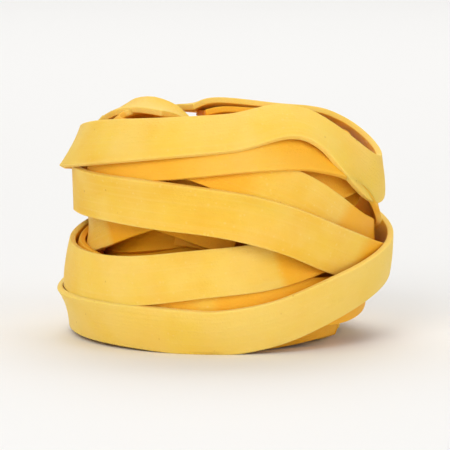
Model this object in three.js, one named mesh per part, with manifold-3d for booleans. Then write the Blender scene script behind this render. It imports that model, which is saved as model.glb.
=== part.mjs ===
// A dry pasta nest: long flat ribbons wound round one another while soft, then dried on a tray.
// Millimetres, +Z up. The origin lies under the middle of the nest, on the surface it rests on,
// and the front of the nest faces -Y.
//
// The winding is worked out as it is done by hand. A rounded drum is the start. Each ribbon takes
// a route over the drum and rests on whatever was laid there before it, so the pile grows outwards,
// and a ribbon bridges the hollows that it is too stiff to follow.
import * as THREE from "three";
import { mergeVertices } from "three/addons/utils/BufferGeometryUtils.js";
import Module from "manifold-3d";

// The ribbon as it leaves the roller.
const RIBBON_WIDTH = 8.4;
const RIBBON_THICK = 1.1;

// The drum under the winding: its girth, foot, crown and how square its two corners are.
const DRUM_RADIUS = 15.1;
const DRUM_FOOT = 2.6;
const DRUM_CROWN = 34.7;
const DRUM_WAIST = 0.45; // share of the height at which the drum is roundest
const DRUM_FLARE = 0.06; // how much wider the foot is than the waist
const CROWN_SQUARENESS = 6.0;
const FOOT_SQUARENESS = 6.0;
const DIMPLE_DEPTH = 11.5;
const DIMPLE_RADIUS = 11.0;
const OVAL_X = 1.1;
const OVAL_Y = 0.96;
const LUMPS = [
  { size: 0.02, waves: 2, phase: 0.6 },
  { size: 0.02, waves: 3, phase: 2.0 },
];
const OUTLINE_STEPS = 800;
const NORMAL_SPREAD = 0.02; // how far apart the points are that a normal is taken from

// How the pile is measured: feelers spread over the drum, and stations along each ribbon.
const FEELERS = 9000;
const STATION = 2.0; // distance between two stations of a ribbon
const ROUTE_STEPS = 400;
const CURVE_STEPS = 60; // between two chosen places of a route
const COVER = 10.0; // usual depth of the ribbons over the drum
const ACROSS = 7; // places across the ribbon where it feels what lies under it

// How a soft ribbon settles.
const STRIP_HALF = 0.8 * STATION;
const FEEL_HALF = 1.1;
const EDGE_ROOM = 0.3;
const SIDE_REACH = 7; // a feeler further out of the ribbon's plane belongs to another side
const SAME_SIDE = 0.2; // smallest cosine between two normals of one side
const BRIDGE = 1; // stations that the ribbon holds level past a high place
const STIFFNESS = 2.0; // stations over which it bends along its length
const EVENED = 1.5; // stations over which its level and slope are evened
const LIFT_EVENED = 2.0; // and over which the rise past a high place is
const MOST_SLOPE = 0.25;
const MOST_BOW = 0.03;
const BOW_KEPT = 0.8;
const SETTLED = 0.3; // share of a high place that lifts the whole ribbon
const UPRIGHT = 10.0; // how strongly a ribbon that shows stands up round a bend
const AIR = 0.05;
const TRAY_FACING = 0.3; // a ribbon whose normal dips more than this is pressed by the tray
const TRAY_STAGGER = 0.015; // how much higher each earlier ribbon stops above the tray
const TRAY_PRESS = 0.35; // how much the lowest ribbons are flattened there

// How far each winding may stray: tilts in degrees, levels and wavers as shares of the drum.
const RING_TILT = [5, 30];
const RING_DRIFT = [-0.1, 0.1];
const RING_WAVERS = [
  { waves: 2, size: [0.02, 0.06] },
  { waves: 3, size: [0.01, 0.03] },
];
const CROSSING_TILT = [72, 90];
const CROSSING_WAVERS = [{ waves: 2, size: [0.02, 0.07] }];
const MOST_LEVEL = 0.95;
const CHOSEN_LIFT = 0.2;

// The fused solid.
const SEAT = 0.65; // how far a ribbon sinks into what it lies on, so that they join
const ROW_STEP = 6.0; // length of one facet along a ribbon
const CORE_GROWTH = 4.0; // the core takes in the ribbons that lie closest to the drum
const CORE_DETAIL = 6;
const TRAY_ROOM = 400; // size of the block that stands for all that is above the tray
const SAME_POINT = 1e-4;

const SEED = 7;
const GOLDEN_ANGLE = Math.PI * (3 - Math.sqrt(5));
const PASTA = { color: 0xf3c258, roughness: 0.55, metalness: 0 };

// Small helpers.

const clamp = THREE.MathUtils.clamp;
const radians = THREE.MathUtils.degToRad;

// A seeded draw: each call gives the next number between low and high.
function makeDraw(seed) {
  let state = seed >>> 0;
  return (low, high) => {
    state = (Math.imul(state, 1664525) + 1013904223) >>> 0;
    return low + ((high - low) * state) / 2 ** 32;
  };
}

// The value of a rising table at x, straight between its entries and level past its ends.
function lookUp(x, xs, ys) {
  if (x <= xs[0]) return ys[0];
  let low = 0;
  let high = xs.length - 1;
  if (x >= xs[high]) return ys[high];
  while (high - low > 1) {
    const middle = (low + high) >> 1;
    if (xs[middle] <= x) low = middle;
    else high = middle;
  }
  return ys[low] + ((ys[high] - ys[low]) * (x - xs[low])) / (xs[high] - xs[low]);
}

// Differences between the neighbours of each point of a line.
function slopes(points) {
  const last = points.length - 1;
  return points.map((p, i) => {
    const ahead = points[Math.min(i + 1, last)];
    const behind = points[Math.max(i - 1, 0)];
    return ahead.clone().sub(behind).normalize();
  });
}

// Rows of numbers made smooth along the line, each column by itself.
function smoothRows(rows, sigma) {
  const reach = Math.floor(3 * sigma);
  const weights = [];
  for (let i = -reach; i <= reach; i++) weights.push(Math.exp(-0.5 * (i / sigma) ** 2));
  const total = weights.reduce((sum, w) => sum + w, 0);
  return rows.map((row, r) =>
    row.map((_, c) => {
      let sum = 0;
      for (let i = -reach; i <= reach; i++) {
        sum += weights[i + reach] * rows[clamp(r + i, 0, rows.length - 1)][c];
      }
      return sum / total;
    }),
  );
}

// Rows in which each number is the highest within reach along the line.
function highestRows(rows, reach) {
  return rows.map((row, r) =>
    row.map((_, c) => {
      let most = -Infinity;
      for (let i = -reach; i <= reach; i++) {
        most = Math.max(most, rows[clamp(r + i, 0, rows.length - 1)][c]);
      }
      return most;
    }),
  );
}

// The drum.

// The drum's outline from the middle of its foot to the middle of its dimple, and the share of the
// outline's length that lies before each of its points.
function drumOutline() {
  const waist = DRUM_FOOT + DRUM_WAIST * (DRUM_CROWN - DRUM_FOOT);
  const bell = (radius) => Math.exp(-((radius / DIMPLE_RADIUS) ** 2));
  const radii = [];
  const heights = [];
  const run = [0];
  for (let i = 0; i <= OUTLINE_STEPS; i++) {
    const turn = -Math.PI / 2 + (Math.PI * i) / OUTLINE_STEPS;
    const sine = Math.sin(turn);
    const square = 2 / (sine > 0 ? CROWN_SQUARENESS : FOOT_SQUARENESS);
    const half = sine > 0 ? DRUM_CROWN - waist : waist - DRUM_FOOT;
    const atPole = i === 0 || i === OUTLINE_STEPS;
    const girth = atPole ? 0 : Math.cos(turn) ** square;
    const radius = DRUM_RADIUS * girth * (1 + DRUM_FLARE * Math.max(-sine, 0));
    const dimple = turn > 0 ? DIMPLE_DEPTH * (bell(radius) - bell(DRUM_RADIUS)) : 0;
    radii.push(radius);
    heights.push(waist + half * Math.sign(sine) * Math.abs(sine) ** square - dimple);
    if (i > 0) run.push(run[i - 1] + Math.hypot(radius - radii[i - 1], heights[i] - heights[i - 1]));
  }
  return { radii, heights, share: run.map((length) => length / run[OUTLINE_STEPS]) };
}

const OUTLINE = drumOutline();

// The point of the drum that a direction from its middle stands for.
function drumPoint(direction) {
  const share = 1 - Math.acos(clamp(direction.z, -1, 1)) / Math.PI;
  const turn = Math.atan2(direction.y, direction.x);
  const lump = LUMPS.reduce((sum, l) => sum + l.size * Math.sin(l.waves * turn + l.phase), 1);
  const radius = lookUp(share, OUTLINE.share, OUTLINE.radii) * lump;
  return new THREE.Vector3(
    OVAL_X * radius * Math.cos(turn),
    OVAL_Y * radius * Math.sin(turn),
    lookUp(share, OUTLINE.share, OUTLINE.heights),
  );
}

// The drum's outward normal there, from four points round it.
function drumNormal(direction) {
  const nearPole = Math.abs(direction.z) > 0.8;
  const aside = nearPole ? new THREE.Vector3(1, 0, 0) : new THREE.Vector3(0, 0, 1);
  const first = aside.cross(direction).normalize();
  const second = direction.clone().cross(first);
  const across = (axis) => {
    const ahead = direction.clone().addScaledVector(axis, NORMAL_SPREAD).normalize();
    const behind = direction.clone().addScaledVector(axis, -NORMAL_SPREAD).normalize();
    return drumPoint(ahead).sub(drumPoint(behind));
  };
  return across(first).cross(across(second)).normalize();
}

// Latitudes of the finished nest, by the height of its side and by the radius of its top.
function latitudeTables() {
  const lowest = -80;
  const sideEnds = 50;
  const topStarts = 30;
  const tables = { sideHeight: [], sideLatitude: [], topRadius: [], topLatitude: [] };
  const points = [];
  for (let latitude = lowest; latitude <= 90; latitude += 0.25) {
    const angle = radians(latitude);
    const direction = new THREE.Vector3(Math.cos(angle), 0, Math.sin(angle));
    const point = drumPoint(direction).addScaledVector(drumNormal(direction), COVER);
    points.push({ latitude, point });
  }
  let highest = -Infinity;
  for (const { latitude, point } of points.filter((p) => p.latitude <= sideEnds)) {
    highest = Math.max(highest, point.z);
    tables.sideHeight.push(highest);
    tables.sideLatitude.push(latitude);
  }
  let widest = -Infinity;
  for (const { latitude, point } of points.filter((p) => p.latitude >= topStarts).reverse()) {
    widest = Math.max(widest, point.x);
    tables.topRadius.push(widest);
    tables.topLatitude.push(latitude);
  }
  return tables;
}

const LATITUDES = latitudeTables();

// A place on a route: how far round from the front, and how high up the side or how far from the
// middle of the top.
const side = (azimuth, height) => [
  azimuth,
  lookUp(height, LATITUDES.sideHeight, LATITUDES.sideLatitude),
];
const top = (azimuth, radius) => [
  azimuth,
  lookUp(radius, LATITUDES.topRadius, LATITUDES.topLatitude),
];

// Routes, each a line of directions from the middle of the drum.

// A route through places chosen by hand, on one smooth curve.
function chosenRoute(places) {
  const points = places.map(([azimuth, latitude]) => new THREE.Vector3(azimuth, latitude, 0));
  const curve = new THREE.CatmullRomCurve3(points, false, "catmullrom", 0.5);
  return curve.getPoints(CURVE_STEPS * (places.length - 1)).map((p) => {
    const turn = radians(p.x) - Math.PI / 2;
    const rise = radians(p.y);
    return new THREE.Vector3(
      Math.cos(rise) * Math.cos(turn),
      Math.cos(rise) * Math.sin(turn),
      Math.sin(rise),
    );
  });
}

// A route that winds round a tilted axis at some level along it, and wavers as it goes.
function windingRoute({ tilt, toward, start, sweep, level, drift, wavers }) {
  const axis = new THREE.Vector3(
    Math.sin(tilt) * Math.cos(toward),
    Math.sin(tilt) * Math.sin(toward),
    Math.cos(tilt),
  );
  const first = new THREE.Vector3(0, 0, 1).cross(axis).normalize();
  const second = axis.clone().cross(first);
  const route = [];
  for (let i = 0; i < ROUTE_STEPS; i++) {
    const along = i / (ROUTE_STEPS - 1);
    const angle = start + sweep * along;
    let height = level + drift * along;
    for (const w of wavers) height += w.size * Math.sin(w.waves * angle + w.phase);
    height = clamp(height, -MOST_LEVEL, MOST_LEVEL);
    const girth = Math.sqrt(1 - height * height);
    route.push(
      first
        .clone()
        .multiplyScalar(girth * Math.cos(angle))
        .addScaledVector(second, girth * Math.sin(angle))
        .addScaledVector(axis, height),
    );
  }
  return route;
}

// The same route with its places an equal distance apart over the drum.
function evenRoute(route) {
  const run = [0];
  for (let i = 1; i < route.length; i++) {
    run.push(run[i - 1] + drumPoint(route[i]).distanceTo(drumPoint(route[i - 1])));
  }
  const length = run[run.length - 1];
  const steps = Math.max(8, Math.round(length / STATION));
  const even = [];
  const part = (key, at) => lookUp(at, run, route.map((d) => d[key]));
  for (let i = 0; i <= steps; i++) {
    const at = (length * i) / steps;
    even.push(new THREE.Vector3(part("x", at), part("y", at), part("z", at)).normalize());
  }
  return even;
}

// The pile.

// Feelers spread evenly over the drum, each with its normal and the height of the pile on it.
function makePile() {
  const feelers = [];
  for (let i = 0; i < FEELERS; i++) {
    const z = 1 - (2 * (i + 0.5)) / FEELERS;
    const turn = Math.PI * (1 + Math.sqrt(5)) * (i + 0.5);
    const girth = Math.sqrt(1 - z * z);
    const direction = new THREE.Vector3(girth * Math.cos(turn), girth * Math.sin(turn), z);
    feelers.push({ point: drumPoint(direction), normal: drumNormal(direction), height: 0 });
  }
  return feelers;
}

const WIDTHS = Array.from(
  { length: ACROSS },
  (_, k) => RIBBON_WIDTH * (k / (ACROSS - 1) - 0.5),
);
const BOW_MEAN = WIDTHS.reduce((sum, a) => sum + a * a, 0) / ACROSS;
const BOWS = WIDTHS.map((a) => a * a - BOW_MEAN);

// The feelers beside each station: how far across the ribbon and how far out of its plane.
function feelersBeside(pile, stations) {
  const lift = pile.reduce((sum, f) => sum + f.height, 0) / pile.length;
  const near = new THREE.Vector3();
  return stations.map(({ point, normal, along, across }) => {
    const found = [];
    const centre = point.clone().addScaledVector(normal, lift);
    for (const feeler of pile) {
      if (feeler.normal.dot(normal) <= SAME_SIDE) continue;
      near.copy(feeler.point).addScaledVector(feeler.normal, lift).sub(centre);
      if (Math.abs(near.dot(along)) >= STRIP_HALF) continue;
      const out = near.dot(normal);
      if (Math.abs(out) >= SIDE_REACH) continue;
      const aside = near.dot(across);
      if (Math.abs(aside) < RIBBON_WIDTH / 2 + FEEL_HALF) found.push({ feeler, aside, out });
    }
    return found;
  });
}

// The height that one row of the ribbon takes over what it feels: a level, a slope and a slight bow.
function settleRow(row) {
  const slopeScale = WIDTHS.reduce((sum, a) => sum + a * a, 0);
  const bowScale = BOWS.reduce((sum, b) => sum + b * b, 0);
  const level = row.reduce((sum, h) => sum + h, 0) / ACROSS;
  const slope = row.reduce((sum, h, k) => sum + h * WIDTHS[k], 0) / slopeScale;
  const bow = row.reduce((sum, h, k) => sum + h * BOWS[k], 0) / bowScale;
  return [
    level,
    clamp(slope, -MOST_SLOPE, MOST_SLOPE),
    clamp(BOW_KEPT * bow, -MOST_BOW, MOST_BOW),
  ];
}

// How fast a line turns at each station, as vectors that point into the bend.
function bends(tangents) {
  const last = tangents.length - 1;
  const rows = tangents.map((_, i) => {
    const next = Math.min(i + 1, last);
    const before = Math.max(i - 1, 0);
    const change = tangents[next].clone().sub(tangents[before]);
    return change.divideScalar(STATION * (next - before)).toArray();
  });
  return smoothRows(rows, STIFFNESS).map((row) => new THREE.Vector3(...row));
}

// The stations of a ribbon. A flat strip doesn't bend edgewise, so round a shoulder it leans from
// the drum's normal towards the outside of its bend, while its place at the usual depth stays.
function placeStations(route, upright) {
  const directions = evenRoute(route);
  const tangents = slopes(directions.map(drumPoint));
  const bend = bends(tangents);
  return directions.map((direction, i) => {
    const along = tangents[i];
    const squared = (v) => v.addScaledVector(along, -v.dot(along)).normalize();
    const flat = squared(drumNormal(direction));
    const weight = upright * (1 - direction.z ** 2);
    const normal = squared(flat.clone().addScaledVector(bend[i], -weight));
    const point = drumPoint(direction).addScaledVector(flat, COVER).addScaledVector(normal, -COVER);
    return { point, along, normal, across: normal.clone().cross(along) };
  });
}

// Lays one ribbon on the pile and gives its middle surface, row by row.
function layRibbon(pile, route, lift, trayGap, upright) {
  const stations = placeStations(route, upright);
  const beside = feelersBeside(pile, stations);

  const felt = beside.map((found) =>
    WIDTHS.map((a) => {
      let most = 0;
      for (const { feeler, aside, out } of found) {
        if (Math.abs(aside - a) < FEEL_HALF) most = Math.max(most, feeler.height + out);
      }
      return most;
    }),
  );
  const rest = smoothRows(highestRows(felt, BRIDGE), STIFFNESS);
  const shapes = smoothRows(rest.map(settleRow), EVENED);
  const draped = shapes.map(([level, slope, bow]) =>
    WIDTHS.map((a, k) => level + slope * a + bow * BOWS[k]),
  );
  const proud = smoothRows(
    rest.map((row, r) => [Math.max(0, ...row.map((h, k) => h - draped[r][k]))]),
    LIFT_EVENED,
  );
  const under = draped.map((row, r) => {
    const { point, normal, across } = stations[r];
    return row.map((h, k) => {
      const height = h + SETTLED * proud[r][0] + lift;
      if (normal.z >= -TRAY_FACING) return height;
      const room = (point.z + WIDTHS[k] * across.z) / -normal.z - RIBBON_THICK - trayGap;
      return Math.min(height, room);
    });
  });

  const raised = new Map();
  beside.forEach((found, r) => {
    for (const { feeler, aside, out } of found) {
      if (Math.abs(aside) >= RIBBON_WIDTH / 2 + EDGE_ROOM) continue;
      const place = clamp((aside / RIBBON_WIDTH + 0.5) * (ACROSS - 1), 0, ACROSS - 1.001);
      const k = Math.floor(place);
      const height = under[r][k] * (1 - place + k) + under[r][k + 1] * (place - k);
      const reached = height + RIBBON_THICK + AIR - out;
      raised.set(feeler, Math.max(reached, raised.get(feeler) ?? feeler.height));
    }
  });
  for (const [feeler, height] of raised) feeler.height = Math.max(feeler.height, height);

  return stations.map(({ point, normal, across }, r) =>
    WIDTHS.map((a, k) =>
      point
        .clone()
        .addScaledVector(across, a)
        .addScaledVector(normal, under[r][k] + RIBBON_THICK / 2),
    ),
  );
}

// The winding, from the inside out.

// The strands that show, in the order in which they were laid.
const CHOSEN_STRANDS = [
  // under the cap, round the rim of the hollow
  [
    side(-230, 35), side(-180, 36), side(-140, 36.5), side(-100, 37), side(-60, 37),
    side(-20, 37), side(20, 37), side(60, 36), side(100, 34),
  ],
  // under the foot, close to the tray
  [
    side(-200, 5), side(-150, 4), side(-110, 3.5), side(-60, 3), side(-20, 3), side(20, 4),
    side(60, 6),
  ],
  // the lower band of the left side
  [
    top(-255, 14), top(-228, 21), side(-205, 32), side(-185, 26), side(-165, 20), side(-120, 17),
    side(-90, 14.5), side(-45, 12), side(-20, 10.5), side(0, 9.5), side(30, 9), side(60, 9),
    side(100, 12), side(140, 16), side(175, 14), side(205, 9), side(230, 4), side(250, 0),
  ],
  // the shaded band under the big diagonal
  [
    side(-168, 19.5), side(-140, 18), side(-110, 16), side(-70, 13.5), side(-40, 13),
    side(-10, 14.5), side(20, 16), side(50, 18.5), side(80, 21), side(120, 23), side(170, 19),
    side(205, 16),
  ],
  // it climbs the right side and curls over the top
  [
    side(12, 23), side(25, 22), side(40, 23.5), side(60, 28), side(80, 33), top(105, 24),
    top(135, 20), top(165, 18), top(195, 15),
  ],
  // the band under the cap
  [
    side(-185, 22), side(-130, 29), side(-90, 31), side(-50, 32), side(-10, 31), side(30, 30),
    side(70, 32), side(110, 34), side(140, 30),
  ],
  // the second diagonal, out of the hollow and down to the right
  [
    top(-125, 15), top(-95, 20), side(-66, 37.5), side(-45, 37.5), side(-24, 36), side(0, 32.5),
    side(30, 27), side(60, 20.5), side(85, 17), side(120, 13), side(165, 10), side(205, 6.5),
    side(230, 3), side(252, 0),
  ],
  // it falls down the right side and runs round the back
  [
    side(-62, 33), side(-25, 34.5), side(10, 35.5), side(40, 34.5), side(62, 31), side(85, 25),
    side(120, 21), side(160, 23), side(200, 27), side(235, 30), side(262, 30.5),
  ],
  // the big diagonal across the front
  [
    side(-183, 15), side(-160, 18), side(-130, 22.7), side(-90, 26.9), side(-60, 27.2),
    side(-30, 26.4), side(0, 24.5), side(25, 21.5), side(50, 17.5), side(75, 14), side(110, 10),
    side(140, 6.5), side(165, 3), side(188, 0),
  ],
  // steep, down the back
  [
    top(290, 8), top(262, 17), side(236, 36), side(212, 31), side(194, 22), side(183, 14),
    side(178, 8), side(176, 6),
  ],
  // the cap round the rim
  [
    side(-201, 4), side(-193, 11), side(-182, 19), side(-165, 26.5), side(-125, 31.5),
    side(-90, 33.8), side(-45, 36.3), side(0, 38), side(40, 38), top(75, 27), top(110, 23),
    top(150, 20), top(185, 17), top(212, 14),
  ],
  // the foot, which sweeps up the right side and round the back
  [
    side(-240, 2), side(-212, 4.5), side(-185, 6.5), side(-125, 7), side(-90, 5.6), side(-45, 5),
    side(-15, 4.6), side(0, 4.8), side(25, 7), side(50, 10.5), side(75, 14), side(110, 19),
    side(145, 24.5), side(178, 29), side(208, 32.5), side(240, 34.5),
  ],
];

// The windings under those, from the inside out. Rings go round the drum, and the others cross its
// foot or its top. A level says how far along its axis a winding lies, and sweeps are in degrees.
const INNER_WINDINGS = [
  { kind: "foot", count: 3, turn: 0, level: 0.3, sweep: [130, 170], lift: 0.4 },
  { kind: "ring", count: 4, lowest: -0.6, spread: 1.2, share: 0.382, sweep: [240, 330], lift: 0.3 },
  { kind: "foot", count: 3, turn: 1.2, level: 0.4, sweep: [130, 170], lift: 0.4 },
  { kind: "top", count: 5, turn: 0.4, level: 0.42, sweep: [150, 190], lift: 0.4 },
  { kind: "ring", count: 3, lowest: -0.3, spread: 0.9, share: 0.618, sweep: [200, 300], lift: 0.3 },
];

const drawWavers = (draw, kinds) =>
  kinds.map(({ waves, size }) => ({ size: draw(...size), waves, phase: draw(0, 2 * Math.PI) }));

// A ribbon round the drum, on an axis that leans a little. The rings of a set share its height out.
function ringRoute(draw, { lowest, spread, share, sweep }, k) {
  return windingRoute({
    tilt: radians(draw(...RING_TILT)),
    toward: draw(0, 2 * Math.PI),
    start: draw(0, 2 * Math.PI),
    sweep: radians(draw(...sweep)),
    level: lowest + spread * ((k * share) % 1),
    drift: draw(...RING_DRIFT),
    wavers: drawWavers(draw, RING_WAVERS),
  });
}

// A ribbon over the top, on one side and the other in turn, or under the foot. Its axis lies nearly
// level and turns by the golden angle from one ribbon to the next.
function crossingRoute(draw, { kind, turn, level, sweep }, k) {
  const overTop = kind === "top";
  const drawnLevel = overTop ? (k % 2 ? -1 : 1) * draw(0, level) : draw(-level, level);
  const drawnSweep = radians(draw(...sweep));
  const middle = overTop ? Math.PI / 2 : -Math.PI / 2;
  return windingRoute({
    tilt: radians(draw(...CROSSING_TILT)),
    toward: GOLDEN_ANGLE * k + turn,
    start: middle - drawnSweep / 2,
    sweep: drawnSweep,
    level: drawnLevel,
    drift: 0,
    wavers: drawWavers(draw, CROSSING_WAVERS),
  });
}

function windNest() {
  const draw = makeDraw(SEED);
  const routes = [];
  const add = (route, mostLift, upright) => {
    routes.push({ route, lift: draw(0, mostLift), upright });
  };
  for (const set of INNER_WINDINGS) {
    const makeRoute = set.kind === "ring" ? ringRoute : crossingRoute;
    for (let k = 0; k < set.count; k++) add(makeRoute(draw, set, k), set.lift, 0);
  }
  for (const places of CHOSEN_STRANDS) add(chosenRoute(places), CHOSEN_LIFT, UPRIGHT);

  const pile = makePile();
  return routes.map(({ route, lift, upright }, i) => {
    const later = routes.length - 1 - i;
    return layRibbon(pile, route, lift, TRAY_STAGGER * later, upright);
  });
}

// Solids.

const wasm = await Module();
wasm.setup();

// A closed geometry as a solid that can be joined and cut.
function solidOf(geometry) {
  const bare = geometry.index ? geometry.toNonIndexed() : geometry.clone();
  bare.deleteAttribute("normal");
  bare.deleteAttribute("uv");
  const merged = mergeVertices(bare, SAME_POINT);
  return new wasm.Manifold(
    new wasm.Mesh({
      numProp: 3,
      vertProperties: merged.attributes.position.array,
      triVerts: new Uint32Array(merged.index.array),
    }),
  );
}

function geometryOf(solid) {
  const mesh = solid.getMesh();
  const geometry = new THREE.BufferGeometry();
  geometry.setAttribute("position", new THREE.BufferAttribute(mesh.vertProperties, 3));
  geometry.setIndex(new THREE.BufferAttribute(mesh.triVerts, 1));
  return geometry;
}

// A ribbon with a four-sided section: its outer face where it shows, its inner face sunk by the seat.
function ribbonGeometry(middle) {
  const last = middle.length - 1;
  const rows = Math.max(3, Math.round((last * STATION) / ROW_STEP));
  const picked = Array.from({ length: rows + 1 }, (_, i) => Math.round((last * i) / rows));
  const positions = [];
  for (const r of picked) {
    const left = middle[r][0];
    const right = middle[r][ACROSS - 1];
    const ahead = middle[Math.min(r + 1, last)][3].clone();
    const along = ahead.sub(middle[Math.max(r - 1, 0)][3]).normalize();
    const across = right.clone().sub(left).normalize();
    const outward = along.clone().cross(across).normalize();
    const outer = RIBBON_THICK / 2;
    const inner = -RIBBON_THICK / 2 - SEAT;
    for (const [edge, depth] of [[left, outer], [right, outer], [right, inner], [left, inner]]) {
      positions.push(...edge.clone().addScaledVector(outward, depth).toArray());
    }
  }
  const index = [];
  const quad = (a, b, c, d) => index.push(a, b, c, a, c, d);
  for (let r = 0; r < rows; r++) {
    for (let k = 0; k < 4; k++) {
      const next = (k + 1) % 4;
      quad(4 * r + k, 4 * (r + 1) + k, 4 * (r + 1) + next, 4 * r + next);
    }
  }
  quad(0, 1, 2, 3);
  quad(4 * rows + 3, 4 * rows + 2, 4 * rows + 1, 4 * rows);
  const geometry = new THREE.BufferGeometry();
  geometry.setAttribute("position", new THREE.Float32BufferAttribute(positions, 3));
  geometry.setIndex(index);
  return geometry;
}

// The core: the drum grown outwards, in flat facets.
function coreGeometry() {
  const geometry = new THREE.IcosahedronGeometry(1, CORE_DETAIL);
  const position = geometry.getAttribute("position");
  const direction = new THREE.Vector3();
  for (let i = 0; i < position.count; i++) {
    direction.fromBufferAttribute(position, i).normalize();
    const point = drumPoint(direction).addScaledVector(drumNormal(direction), CORE_GROWTH);
    position.setXYZ(i, ...point.toArray());
  }
  return geometry;
}

// Everything above the tray, which presses the lowest ribbons flat.
function aboveTray() {
  const geometry = new THREE.BoxGeometry(TRAY_ROOM, TRAY_ROOM, TRAY_ROOM);
  geometry.translate(0, 0, TRAY_ROOM / 2 + TRAY_PRESS);
  return solidOf(geometry);
}

// Only the outer skin of the largest piece: sealed hollows are filled and loose scraps dropped.
function outerSkin(solid) {
  const pieces = solid.decompose();
  return pieces.reduce((best, piece) => (piece.volume() > best.volume() ? piece : best));
}

function nestGeometry() {
  const ribbons = windNest();
  let nest = solidOf(coreGeometry());
  for (const middle of ribbons) nest = nest.add(solidOf(ribbonGeometry(middle)));
  const geometry = geometryOf(outerSkin(nest.intersect(aboveTray())));
  geometry.computeBoundingBox();
  const centre = geometry.boundingBox.getCenter(new THREE.Vector3());
  geometry.translate(-centre.x, -centre.y, -geometry.boundingBox.min.z);
  return geometry;
}

const pasta = new THREE.MeshStandardMaterial(PASTA);
const nest = new THREE.Mesh(nestGeometry(), pasta);
nest.name = "pasta_nest";

const part = new THREE.Group();
part.add(nest);

export default part;
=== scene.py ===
# %% [markdown]
# # A dry pasta nest
#
# A pasta nest is wound by hand or by a turning fork while the ribbons are soft, and then dried on
# a tray until it is as hard as wood. This lesson builds one ribbon by ribbon around the model from
# the CAD step, and gives it the look of dry durum pasta.
#
# The first cell loads that model. It is the frame of the scene, in metres, with +Z up and the
# front of the nest facing -Y. The finished nest has to stand where it stands and fit its box.

# %% The frame
import math

import bpy
import numpy as np
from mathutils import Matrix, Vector


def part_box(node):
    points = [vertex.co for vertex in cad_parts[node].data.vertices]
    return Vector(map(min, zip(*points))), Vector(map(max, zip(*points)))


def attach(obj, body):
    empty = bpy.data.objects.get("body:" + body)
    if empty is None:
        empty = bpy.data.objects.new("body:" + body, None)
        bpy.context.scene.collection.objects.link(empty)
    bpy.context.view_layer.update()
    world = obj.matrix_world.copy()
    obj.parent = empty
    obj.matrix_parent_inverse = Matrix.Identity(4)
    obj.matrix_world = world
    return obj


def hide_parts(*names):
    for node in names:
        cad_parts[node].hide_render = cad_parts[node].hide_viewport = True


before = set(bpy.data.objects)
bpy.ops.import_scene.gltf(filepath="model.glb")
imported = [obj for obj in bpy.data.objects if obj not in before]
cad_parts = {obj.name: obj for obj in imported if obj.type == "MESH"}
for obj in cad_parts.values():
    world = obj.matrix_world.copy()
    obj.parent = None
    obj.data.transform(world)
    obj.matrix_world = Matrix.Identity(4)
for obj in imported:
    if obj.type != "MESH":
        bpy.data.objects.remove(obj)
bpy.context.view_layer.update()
NEST = "pasta_nest"
MM = 0.001
nest_low, nest_high = (np.array(corner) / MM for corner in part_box(NEST))
print("nodes of the frame:", sorted(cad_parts))
print("nest, millimetres:", (nest_high - nest_low).round(1))

# %% [markdown]
# ## Measures
#
# The ribbon is a wide one, 8.4 mm across and 1.1 mm thick. Under the winding lies a drum, a
# rounded form a little over half as wide as the nest, which stands for its innermost turns. It
# could be any smooth closed form. This one is a turned outline with square shoulders, because a
# wound nest has an upright side and a nearly flat top, and its top dips in the middle.
#
# All lengths are in millimetres until the finished meshes move into the frame.

# %% Measures
RIBBON_WIDTH = 8.4
RIBBON_THICK = 1.1

DRUM_RADIUS = 15.1
DRUM_FOOT = 2.6
DRUM_CROWN = 34.7
DRUM_WAIST = 0.45  # share of the height at which the drum is roundest
DRUM_FLARE = 0.06  # how much wider the foot is than the waist
CROWN_SQUARENESS = 6.0
FOOT_SQUARENESS = 6.0
DIMPLE_DEPTH = 11.5
DIMPLE_RADIUS = 11.0
OVAL_X, OVAL_Y = 1.1, 0.96
LUMPS = [(0.02, 2, 0.6), (0.02, 3, 2.0)]  # size, waves round the girth and phase of each
COVER = 10.0  # usual depth of the ribbons over the drum
print("ribbon, millimetres:", RIBBON_WIDTH, "wide and", RIBBON_THICK, "thick")

# %% [markdown]
# ## The drum
#
# A point of the drum is found from a direction, as a place on a globe is. How far the direction
# has turned from the south pole to the north pole says how far along the outline the point lies,
# and its compass bearing says how far round. Two low waves round the girth make it a little
# lumpy. The outward normal comes from four neighbours of the point.

# %% The drum
STEEP = 0.8  # from this height on the globe, the sideways tangent is taken from another axis
TINY = 1e-12  # stands in for a length of zero, which nothing can be divided by


def unit(vectors):
    """The same vectors with length one: each is divided by its own length."""
    return vectors / np.maximum(np.linalg.norm(vectors, axis=-1, keepdims=True), TINY)


def drum_outline(steps=800):
    """Outline from foot to dimple: radius is a power of the cosine of a half turn, height the same
    power of its sine, so a high squareness gives square shoulders; the dimple is a bell curve of
    the radius, less what the bell still has at the rim."""
    turn = np.linspace(-np.pi / 2, np.pi / 2, steps + 1)
    sine, cosine = np.sin(turn), np.maximum(np.cos(turn), 0)
    power = 2 / np.where(sine > 0, CROWN_SQUARENESS, FOOT_SQUARENESS)
    waist = DRUM_FOOT + DRUM_WAIST * (DRUM_CROWN - DRUM_FOOT)
    half = np.where(sine > 0, DRUM_CROWN - waist, waist - DRUM_FOOT)
    radius = DRUM_RADIUS * cosine**power * (1 + DRUM_FLARE * np.maximum(-sine, 0))
    radius[[0, -1]] = 0
    height = waist + half * np.sign(sine) * np.abs(sine) ** power
    bell, rim = np.exp(-((np.array([radius, 0 * radius + DRUM_RADIUS]) / DIMPLE_RADIUS) ** 2))
    height -= (turn > 0) * DIMPLE_DEPTH * (bell - rim)
    run = np.append(0, np.cumsum(np.hypot(np.diff(radius), np.diff(height))))
    return run / run[-1], radius, height


OUTLINE = drum_outline()


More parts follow.
